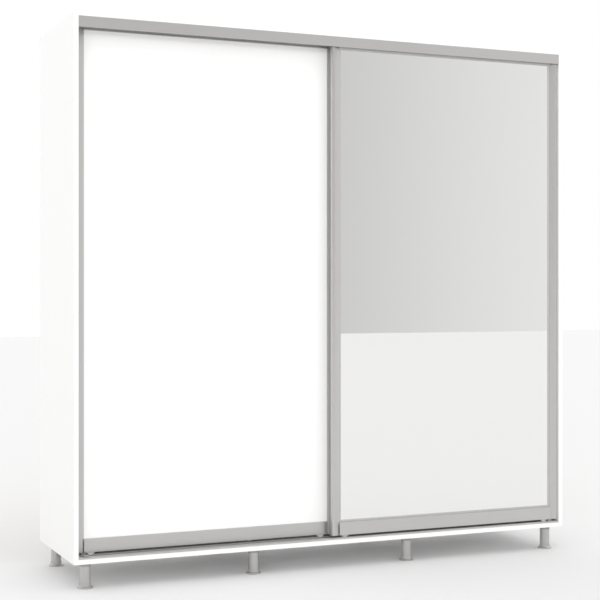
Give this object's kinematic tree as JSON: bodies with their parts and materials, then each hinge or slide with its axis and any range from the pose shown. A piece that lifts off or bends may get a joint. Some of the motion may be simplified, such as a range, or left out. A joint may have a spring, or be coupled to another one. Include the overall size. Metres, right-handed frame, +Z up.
{
  "type": "sliding door wardrobe",
  "caption": "Wide wardrobe on legs with a plain door and a mirror door that slide on a double track, over shelves and hanging rails.",
  "frame": {"origin": "on the floor, under the middle of the wardrobe", "axes": "+Z up, +X to the right of a person facing the doors, the doors face -Y"},
  "size_m": [2.2, 0.58, 2.2],
  "materials": {
    "white_board": "white melamine-faced board, fine orange-peel texture, satin",
    "door_board": "bright white melamine-faced board, satin",
    "back_board": "white-lacquered thin fibreboard, matt",
    "track_aluminium": "silver anodised extrusion, satin with fine drawn lines",
    "frame_aluminium": "silver anodised extrusion, satin with fine drawn lines",
    "mirror_glass": "silvered float glass",
    "gasket_rubber": "soft grey sealing profile, matt",
    "brush_pile": "grey pile",
    "wheel_nylon": "off-white moulded nylon",
    "black_nylon": "black moulded nylon",
    "leg_plastic": "grey moulded plastic with a silver tone, satin",
    "plate_plastic": "darker grey moulded plastic, matt",
    "zinc_steel": "bright zinc plated",
    "cam_metal": "die-cast zinc",
    "chrome_tube": "chromed steel"
  },
  "bodies": {
    "carcass": {"side_panel_left": "white_board", "side_panel_right": "white_board", "top_panel": "white_board", "bottom_panel": "white_board", "divider_left": "white_board", "divider_right": "white_board", "hat_shelf_middle": "white_board", "hat_shelf_right": "white_board", "shelf_left_1": "white_board", "shelf_left_2": "white_board", "shelf_left_3": "white_board", "shelf_left_4": "white_board", "back_sheet_left": "back_board", "back_sheet_middle": "back_board", "back_sheet_right": "back_board", "back_nails": "zinc_steel", "cam_locks": "cam_metal", "cam_bolts": "zinc_steel", "shelf_pins": "zinc_steel", "top_track": "track_aluminium", "bottom_track": "track_aluminium", "door_stops": "leg_plastic", "hanging_rail_middle": "chrome_tube", "hanging_rail_right": "chrome_tube", "rail_sockets": "chrome_tube", "track_screws": "zinc_steel", "leg_plates": "plate_plastic", "leg_tubes": "leg_plastic", "leg_screws": "zinc_steel"},
    "door_left": {"door_left_stile_left": "frame_aluminium", "door_left_stile_right": "frame_aluminium", "door_left_bottom_rail": "frame_aluminium", "door_left_top_rail": "frame_aluminium", "door_left_frame_screws": "zinc_steel", "door_left_brush_strips": "brush_pile", "door_left_wheel_carriers": "black_nylon", "door_left_guide_shoes": "black_nylon", "door_left_panel": "door_board"},
    "door_right": {"door_right_stile_left": "frame_aluminium", "door_right_stile_right": "frame_aluminium", "door_right_bottom_rail": "frame_aluminium", "door_right_top_rail": "frame_aluminium", "door_right_frame_screws": "zinc_steel", "door_right_brush_strips": "brush_pile", "door_right_wheel_carriers": "black_nylon", "door_right_guide_shoes": "black_nylon", "door_right_mirror": "mirror_glass", "door_right_gasket": "gasket_rubber"},
    "door_left_wheel_1": {"door_left_wheel_1": "wheel_nylon"},
    "door_left_wheel_2": {"door_left_wheel_2": "wheel_nylon"},
    "door_right_wheel_1": {"door_right_wheel_1": "wheel_nylon"},
    "door_right_wheel_2": {"door_right_wheel_2": "wheel_nylon"},
    "foot_front_1": {"foot_front_1": "leg_plastic"},
    "foot_front_2": {"foot_front_2": "leg_plastic"},
    "foot_front_3": {"foot_front_3": "leg_plastic"},
    "foot_front_4": {"foot_front_4": "leg_plastic"},
    "foot_rear_1": {"foot_rear_1": "leg_plastic"},
    "foot_rear_2": {"foot_rear_2": "leg_plastic"},
    "foot_rear_3": {"foot_rear_3": "leg_plastic"},
    "foot_rear_4": {"foot_rear_4": "leg_plastic"}
  },
  "joints": [
    {"name": "door_left_slide", "type": "slide", "parent": "carcass", "child": "door_left", "axis": [1, 0, 0], "range_m": [0, 1.0635]},
    {"name": "door_right_slide", "type": "slide", "parent": "carcass", "child": "door_right", "axis": [1, 0, 0], "range_m": [-1.0635, 0]},
    {"name": "door_left_wheel_1_spin", "type": "hinge", "parent": "door_left", "child": "door_left_wheel_1", "pos_m": [-1.0175, -0.2207, 0.14], "axis": [0, 1, 0], "continuous": true},
    {"name": "door_left_wheel_2_spin", "type": "hinge", "parent": "door_left", "child": "door_left_wheel_2", "pos_m": [-0.046, -0.2207, 0.14], "axis": [0, 1, 0], "continuous": true},
    {"name": "door_right_wheel_1_spin", "type": "hinge", "parent": "door_right", "child": "door_right_wheel_1", "pos_m": [0.046, -0.2657, 0.14], "axis": [0, 1, 0], "continuous": true},
    {"name": "door_right_wheel_2_spin", "type": "hinge", "parent": "door_right", "child": "door_right_wheel_2", "pos_m": [1.0175, -0.2657, 0.14], "axis": [0, 1, 0], "continuous": true},
    {"name": "foot_front_1_adjust", "type": "slide", "parent": "carcass", "child": "foot_front_1", "axis": [0, 0, 1], "range_m": [0, 0.01]},
    {"name": "foot_front_2_adjust", "type": "slide", "parent": "carcass", "child": "foot_front_2", "axis": [0, 0, 1], "range_m": [0, 0.01]},
    {"name": "foot_front_3_adjust", "type": "slide", "parent": "carcass", "child": "foot_front_3", "axis": [0, 0, 1], "range_m": [0, 0.01]},
    {"name": "foot_front_4_adjust", "type": "slide", "parent": "carcass", "child": "foot_front_4", "axis": [0, 0, 1], "range_m": [0, 0.01]},
    {"name": "foot_rear_1_adjust", "type": "slide", "parent": "carcass", "child": "foot_rear_1", "axis": [0, 0, 1], "range_m": [0, 0.01]},
    {"name": "foot_rear_2_adjust", "type": "slide", "parent": "carcass", "child": "foot_rear_2", "axis": [0, 0, 1], "range_m": [0, 0.01]},
    {"name": "foot_rear_3_adjust", "type": "slide", "parent": "carcass", "child": "foot_rear_3", "axis": [0, 0, 1], "range_m": [0, 0.01]},
    {"name": "foot_rear_4_adjust", "type": "slide", "parent": "carcass", "child": "foot_rear_4", "axis": [0, 0, 1], "range_m": [0, 0.01]}
  ],
  "couplings": [
    {"joint": "door_left_wheel_1_spin", "follows": "door_left_slide", "rad_per_m": 66.667},
    {"joint": "door_left_wheel_2_spin", "follows": "door_left_slide", "rad_per_m": 66.667},
    {"joint": "door_right_wheel_1_spin", "follows": "door_right_slide", "rad_per_m": 66.667},
    {"joint": "door_right_wheel_2_spin", "follows": "door_right_slide", "rad_per_m": 66.667}
  ]
}
